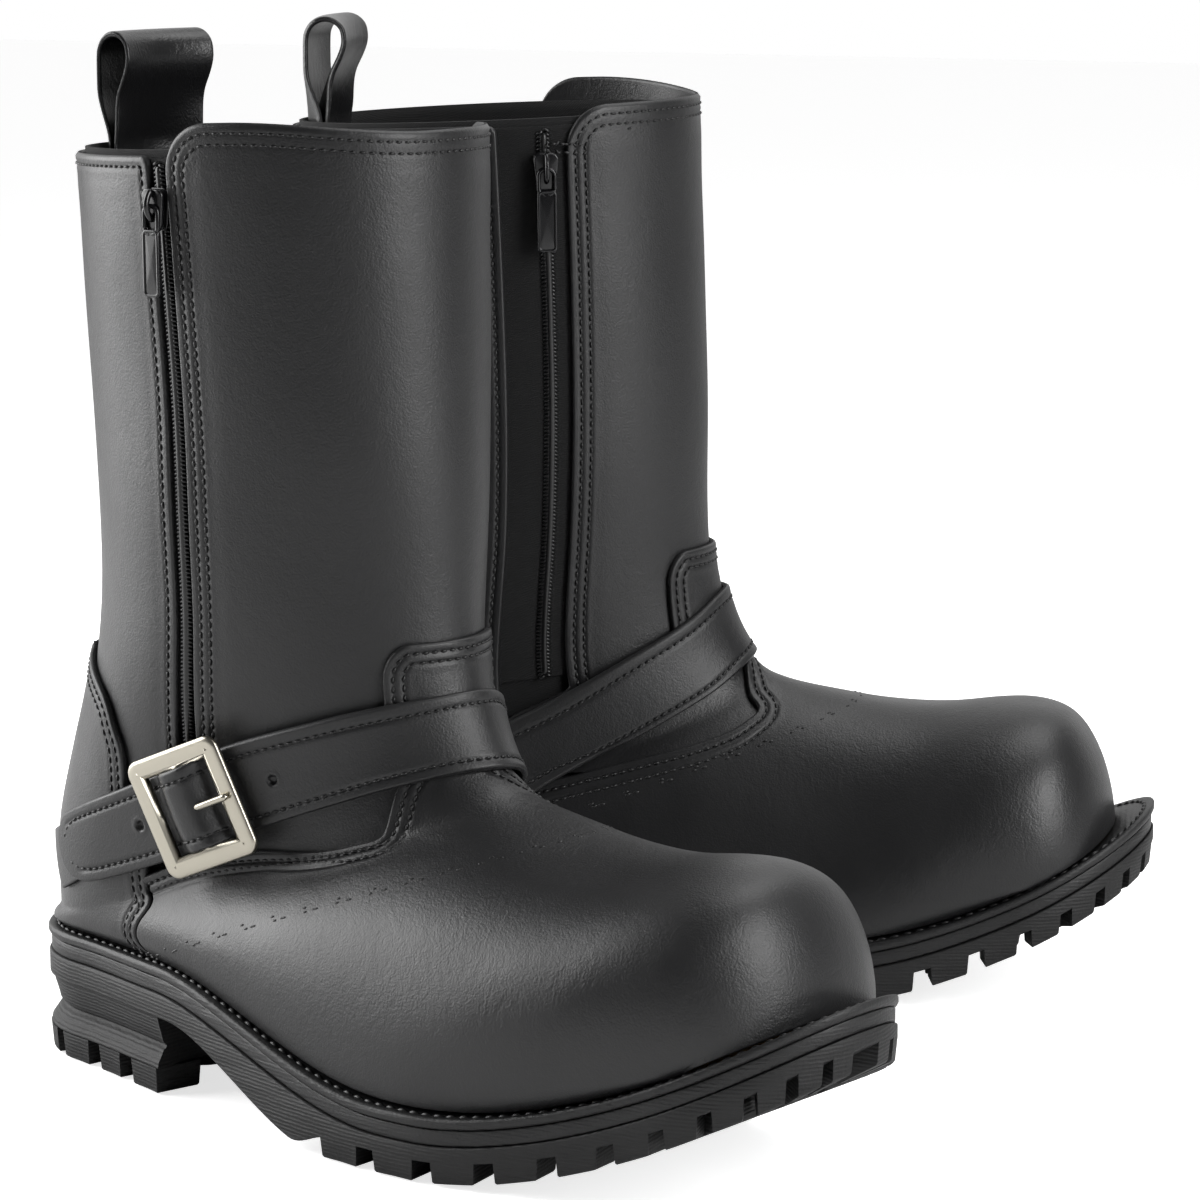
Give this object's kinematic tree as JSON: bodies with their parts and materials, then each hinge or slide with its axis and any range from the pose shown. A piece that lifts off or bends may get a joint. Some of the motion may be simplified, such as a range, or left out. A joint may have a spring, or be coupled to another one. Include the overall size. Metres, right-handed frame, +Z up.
{
  "type": "pair of engineer boots",
  "caption": "Pair of tall black leather engineer boots with side zips, a buckled instep strap, back pull loops and lugged rubber soles with block heels.",
  "frame": {"origin": "middle of the pair's footprint, on the floor", "axes": "+X from the right boot to the left boot, -Y the way the toes point, +Z up"},
  "size_m": [0.3472, 0.314, 0.3316],
  "materials": {
    "black_leather": "smooth satin black, fine grain",
    "lining_textile": "matt black textile",
    "welt_leather": "matt black",
    "sole_rubber": "matt, finely ribbed edges",
    "board": "fibre board",
    "cork": "cork compound",
    "stiffener": "impregnated stiffener sheet",
    "shank_steel": "spring steel strip",
    "nickel": "satin nickel plate",
    "zip_tape": "black woven tape with a nylon coil",
    "zip_metal": "gloss black enamel"
  },
  "bodies": {
    "pair": {"right_outsole": "sole_rubber", "right_heel_block": "sole_rubber", "right_midsole": "sole_rubber", "right_welt": "welt_leather", "right_insole_board": "board", "right_footbed": "lining_textile", "right_cork_filler": "cork", "right_shank": "shank_steel", "right_toe_puff": "stiffener", "right_heel_stiffener": "stiffener", "right_lining": "lining_textile", "right_vamp": "black_leather", "right_front_panel": "black_leather", "right_rear_panel": "black_leather", "right_counter_cover": "black_leather", "right_backstay": "black_leather", "right_pull_loop": "black_leather", "right_strap": "black_leather", "right_chape": "black_leather", "right_outer_zip": "zip_tape", "right_inner_zip": "zip_tape", "left_outsole": "sole_rubber", "left_heel_block": "sole_rubber", "left_midsole": "sole_rubber", "left_welt": "welt_leather", "left_insole_board": "board", "left_footbed": "lining_textile", "left_cork_filler": "cork", "left_shank": "shank_steel", "left_toe_puff": "stiffener", "left_heel_stiffener": "stiffener", "left_lining": "lining_textile", "left_vamp": "black_leather", "left_front_panel": "black_leather", "left_rear_panel": "black_leather", "left_counter_cover": "black_leather", "left_backstay": "black_leather", "left_pull_loop": "black_leather", "left_strap": "black_leather", "left_chape": "black_leather", "left_outer_zip": "zip_tape", "left_inner_zip": "zip_tape"},
    "right_buckle_body": {"right_buckle": "nickel"},
    "right_inner_pull_body": {"right_inner_pull": "zip_metal"},
    "right_inner_slider_body": {"right_inner_slider": "zip_metal"},
    "right_outer_pull_body": {"right_outer_pull": "zip_metal"},
    "right_outer_slider_body": {"right_outer_slider": "zip_metal"},
    "right_prong_body": {"right_prong": "nickel"},
    "left_buckle_body": {"left_buckle": "nickel"},
    "left_inner_pull_body": {"left_inner_pull": "zip_metal"},
    "left_inner_slider_body": {"left_inner_slider": "zip_metal"},
    "left_outer_pull_body": {"left_outer_pull": "zip_metal"},
    "left_outer_slider_body": {"left_outer_slider": "zip_metal"},
    "left_prong_body": {"left_prong": "nickel"}
  },
  "joints": [
    {"name": "right_outer_zip_slide", "type": "slide", "parent": "pair", "child": "right_outer_slider_body", "axis": [0.0421, -0.0173, -0.999], "range_m": [0, 0.1347]},
    {"name": "right_outer_pull_hinge", "type": "hinge", "parent": "right_outer_slider_body", "child": "right_outer_pull_body", "pos_m": [-0.135, 0.07902, 0.28129], "axis": [0.2244, 0.9745, -0.0075], "range_deg": [0, 120]},
    {"name": "right_inner_zip_slide", "type": "slide", "parent": "pair", "child": "right_inner_slider_body", "axis": [-0.0461, 0.0217, -0.9987], "range_m": [0, 0.1412]},
    {"name": "right_inner_pull_hinge", "type": "hinge", "parent": "right_inner_slider_body", "child": "right_inner_pull_body", "pos_m": [-0.03061, 0.02484, 0.28217], "axis": [-0.5439, -0.8391, 0.0069], "range_deg": [0, 120]},
    {"name": "right_buckle_hinge", "type": "hinge", "parent": "pair", "child": "right_buckle_body", "pos_m": [-0.1285, 0.07233, 0.09611], "axis": [0.0373, -0.3875, -0.9211], "range_deg": [-1.5, 1.5]},
    {"name": "right_prong_hinge", "type": "hinge", "parent": "right_buckle_body", "child": "right_prong_body", "pos_m": [-0.1285, 0.07233, 0.09611], "axis": [0.0373, -0.3875, -0.9211], "range_deg": [0, 4]},
    {"name": "left_outer_zip_slide", "type": "slide", "parent": "pair", "child": "left_outer_slider_body", "axis": [-0.0421, -0.0173, -0.999], "range_m": [0, 0.1347]},
    {"name": "left_outer_pull_hinge", "type": "hinge", "parent": "left_outer_slider_body", "child": "left_outer_pull_body", "pos_m": [0.135, 0.07902, 0.28129], "axis": [0.2244, -0.9745, 0.0075], "range_deg": [0, 120]},
    {"name": "left_inner_zip_slide", "type": "slide", "parent": "pair", "child": "left_inner_slider_body", "axis": [0.0461, 0.0217, -0.9987], "range_m": [0, 0.1412]},
    {"name": "left_inner_pull_hinge", "type": "hinge", "parent": "left_inner_slider_body", "child": "left_inner_pull_body", "pos_m": [0.03061, 0.02484, 0.28217], "axis": [-0.5439, 0.8391, -0.0069], "range_deg": [0, 120]},
    {"name": "left_buckle_hinge", "type": "hinge", "parent": "pair", "child": "left_buckle_body", "pos_m": [0.1285, 0.07233, 0.09611], "axis": [0.0373, 0.3875, 0.9211], "range_deg": [-1.5, 1.5]},
    {"name": "left_prong_hinge", "type": "hinge", "parent": "left_buckle_body", "child": "left_prong_body", "pos_m": [0.1285, 0.07233, 0.09611], "axis": [0.0373, 0.3875, 0.9211], "range_deg": [0, 4]}
  ]
}
